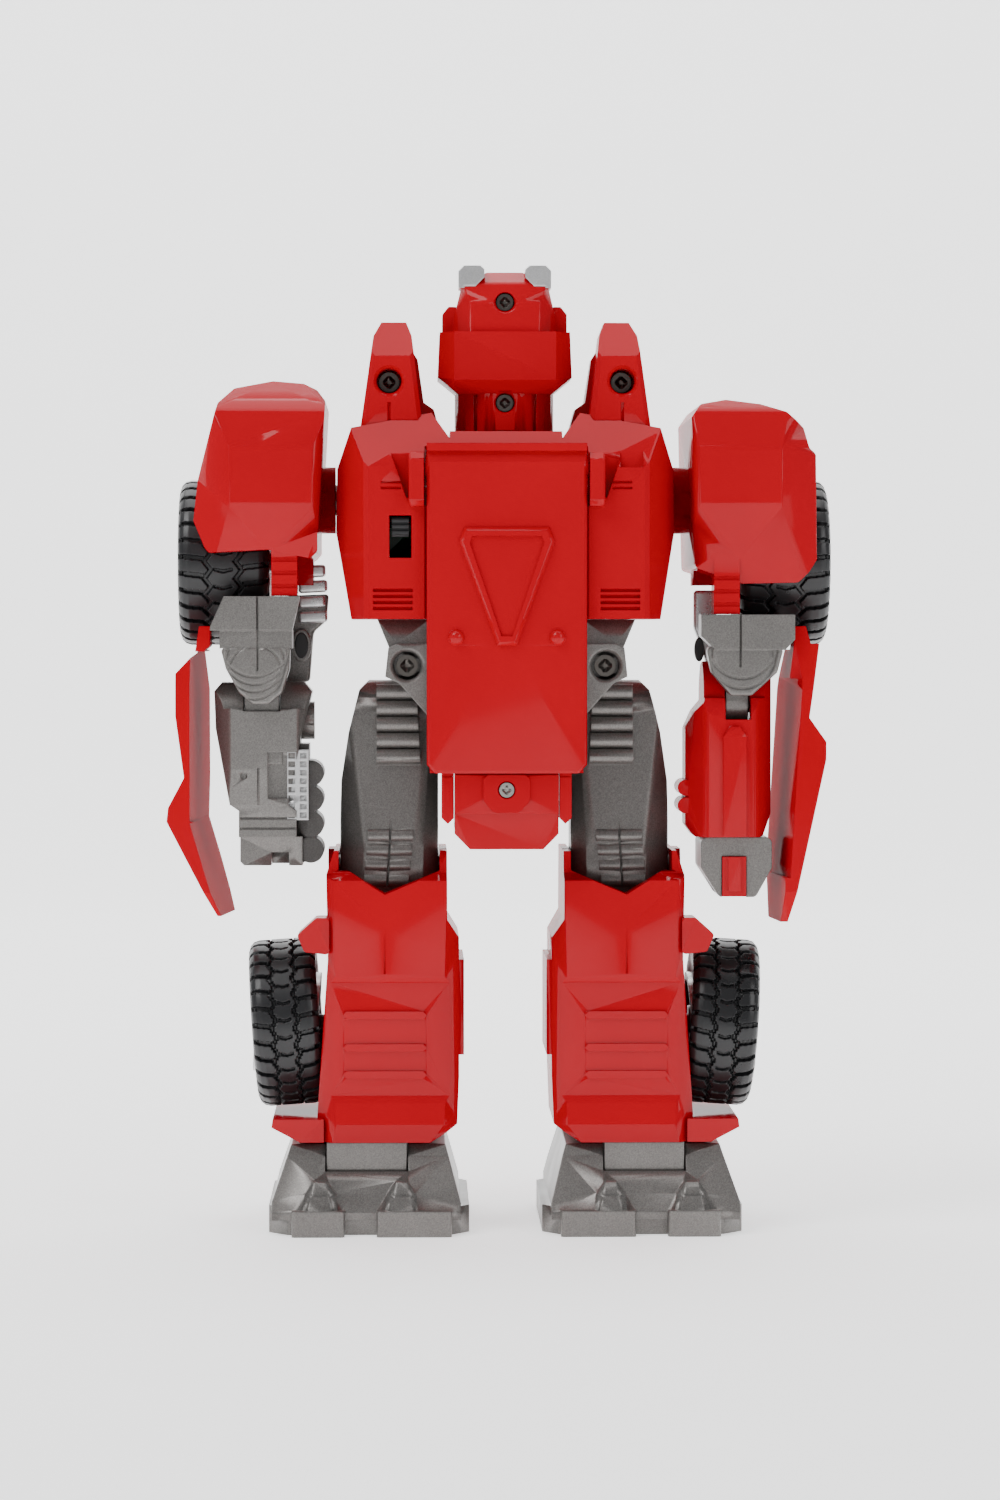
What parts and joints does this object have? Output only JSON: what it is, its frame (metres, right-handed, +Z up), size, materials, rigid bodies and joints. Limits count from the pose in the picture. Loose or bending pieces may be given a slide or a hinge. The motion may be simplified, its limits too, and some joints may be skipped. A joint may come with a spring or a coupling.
{
  "type": "transforming robot car",
  "caption": "Standing toy robot that folds into a car: hinged back panel, turning head, jointed arms and legs, wheels on arms and shins, battery box and speaker inside.",
  "frame": {"origin": "on the floor, midway between the feet", "axes": "+Z up, +Y the way the robot faces, +X to the robot's right hand side seen from behind"},
  "size_m": [0.1723, 0.0806, 0.25],
  "materials": {
    "red_plastic": "high gloss",
    "grey_plastic": "silver-grey metallic, satin",
    "silver_plastic": "bright silver paint",
    "tyre_rubber": "soft sheen",
    "black_plastic": "matt",
    "lamp_plastic": "clear",
    "visor_plastic": "tinted",
    "steel": "plated",
    "brass": "nickel-plated spring strip",
    "board_laminate": "laminate"
  },
  "bodies": {
    "torso": {"rear_cover": "red_plastic", "front_cover": "red_plastic", "right_fin": "red_plastic", "left_fin": "red_plastic", "chest_grille": "black_plastic", "headlights": "lamp_plastic", "waist_frame": "grey_plastic", "battery_door": "red_plastic", "battery_door_screw": "steel", "body_screws": "steel", "batteries": "steel", "battery_contacts": "brass", "circuit_board": "board_laminate", "speaker": "black_plastic"},
    "switch": {"power_switch": "black_plastic"},
    "button": {"chest_button": "silver_plastic"},
    "panel": {"back_panel": "red_plastic"},
    "head": {"head_shell": "red_plastic", "head_horns": "silver_plastic", "face": "silver_plastic", "visor": "visor_plastic", "head_screws": "steel"},
    "left_arm": {"left_fender": "red_plastic", "left_upper_arm": "grey_plastic", "left_door": "red_plastic"},
    "left_fore": {"left_forearm": "grey_plastic", "left_hand": "grey_plastic", "left_arm_grille": "silver_plastic"},
    "right_arm": {"right_fender": "red_plastic", "right_upper_arm": "grey_plastic", "right_door": "red_plastic"},
    "right_fore": {"right_blaster": "red_plastic", "right_muzzle": "grey_plastic", "right_muzzle_rib": "red_plastic"},
    "left_arm_roller": {"left_arm_tyre": "tyre_rubber", "left_arm_wheel": "silver_plastic"},
    "left_upper_leg": {"left_thigh": "grey_plastic"},
    "left_lower_leg": {"left_shin_rear": "red_plastic", "left_shin_front": "red_plastic", "left_knee_pin": "steel", "left_ankle": "grey_plastic"},
    "left_leg_roller": {"left_leg_tyre": "tyre_rubber", "left_leg_wheel": "silver_plastic"},
    "left_sole": {"left_foot": "grey_plastic"},
    "right_arm_roller": {"right_arm_tyre": "tyre_rubber", "right_arm_wheel": "silver_plastic"},
    "right_upper_leg": {"right_thigh": "grey_plastic"},
    "right_lower_leg": {"right_shin_rear": "red_plastic", "right_shin_front": "red_plastic", "right_knee_pin": "steel", "right_ankle": "grey_plastic"},
    "right_leg_roller": {"right_leg_tyre": "tyre_rubber", "right_leg_wheel": "silver_plastic"},
    "right_sole": {"right_foot": "grey_plastic"}
  },
  "joints": [
    {"name": "head_turn", "type": "hinge", "parent": "torso", "child": "head", "pos_m": [0, -0.002, 0.207], "axis": [0, 0, 1], "range_deg": [-45, 45]},
    {"name": "back_panel_hinge", "type": "hinge", "parent": "torso", "child": "panel", "pos_m": [0, -0.0346, 0.197], "axis": [-1, 0, 0], "range_deg": [0, 170]},
    {"name": "left_shoulder", "type": "hinge", "parent": "torso", "child": "left_arm", "pos_m": [-0.045, 0, 0.1895], "axis": [1, 0, 0], "range_deg": [-45, 165]},
    {"name": "left_elbow", "type": "hinge", "parent": "left_arm", "child": "left_fore", "pos_m": [-0.0625, -0.008, 0.132], "axis": [1, 0, 0], "range_deg": [0, 75]},
    {"name": "left_arm_wheel_spin", "type": "hinge", "parent": "left_arm", "child": "left_arm_roller", "pos_m": [-0.0731, 0.008, 0.1733], "axis": [1, 0, 0], "continuous": true},
    {"name": "left_hip", "type": "hinge", "parent": "torso", "child": "left_upper_leg", "pos_m": [-0.02, 0, 0.133], "axis": [1, 0, 0], "range_deg": [-15, 80]},
    {"name": "left_knee", "type": "hinge", "parent": "left_upper_leg", "child": "left_lower_leg", "pos_m": [-0.03, 0, 0.094], "axis": [-1, 0, 0], "range_deg": [0, 24]},
    {"name": "left_ankle_hinge", "type": "hinge", "parent": "left_lower_leg", "child": "left_sole", "pos_m": [-0.036, -0.019, 0.0164], "axis": [-1, 0, 0], "range_deg": [0, 45]},
    {"name": "left_leg_wheel_spin", "type": "hinge", "parent": "left_lower_leg", "child": "left_leg_roller", "pos_m": [-0.0569, 0, 0.0526], "axis": [0.9976, 0, -0.0698], "continuous": true},
    {"name": "right_shoulder", "type": "hinge", "parent": "torso", "child": "right_arm", "pos_m": [0.045, 0, 0.1895], "axis": [1, 0, 0], "range_deg": [-45, 165]},
    {"name": "right_elbow", "type": "hinge", "parent": "right_arm", "child": "right_fore", "pos_m": [0.0625, -0.008, 0.137], "axis": [1, 0, 0], "range_deg": [0, 75]},
    {"name": "right_arm_wheel_spin", "type": "hinge", "parent": "right_arm", "child": "right_arm_roller", "pos_m": [0.0731, 0.008, 0.1733], "axis": [1, 0, 0], "continuous": true},
    {"name": "right_hip", "type": "hinge", "parent": "torso", "child": "right_upper_leg", "pos_m": [0.02, 0, 0.133], "axis": [1, 0, 0], "range_deg": [-15, 80]},
    {"name": "right_knee", "type": "hinge", "parent": "right_upper_leg", "child": "right_lower_leg", "pos_m": [0.03, 0, 0.094], "axis": [-1, 0, 0], "range_deg": [0, 24]},
    {"name": "right_ankle_hinge", "type": "hinge", "parent": "right_lower_leg", "child": "right_sole", "pos_m": [0.036, -0.019, 0.0164], "axis": [-1, 0, 0], "range_deg": [0, 45]},
    {"name": "right_leg_wheel_spin", "type": "hinge", "parent": "right_lower_leg", "child": "right_leg_roller", "pos_m": [0.0569, 0, 0.0526], "axis": [0.9976, 0, 0.0698], "continuous": true},
    {"name": "power_slide", "type": "slide", "parent": "torso", "child": "switch", "axis": [0, 0, -1], "range_m": [0, 0.005]},
    {"name": "chest_button_press", "type": "slide", "parent": "torso", "child": "button", "axis": [0, -1, 0], "range_m": [0, 0.002], "stiffness_N_per_m": 400}
  ]
}
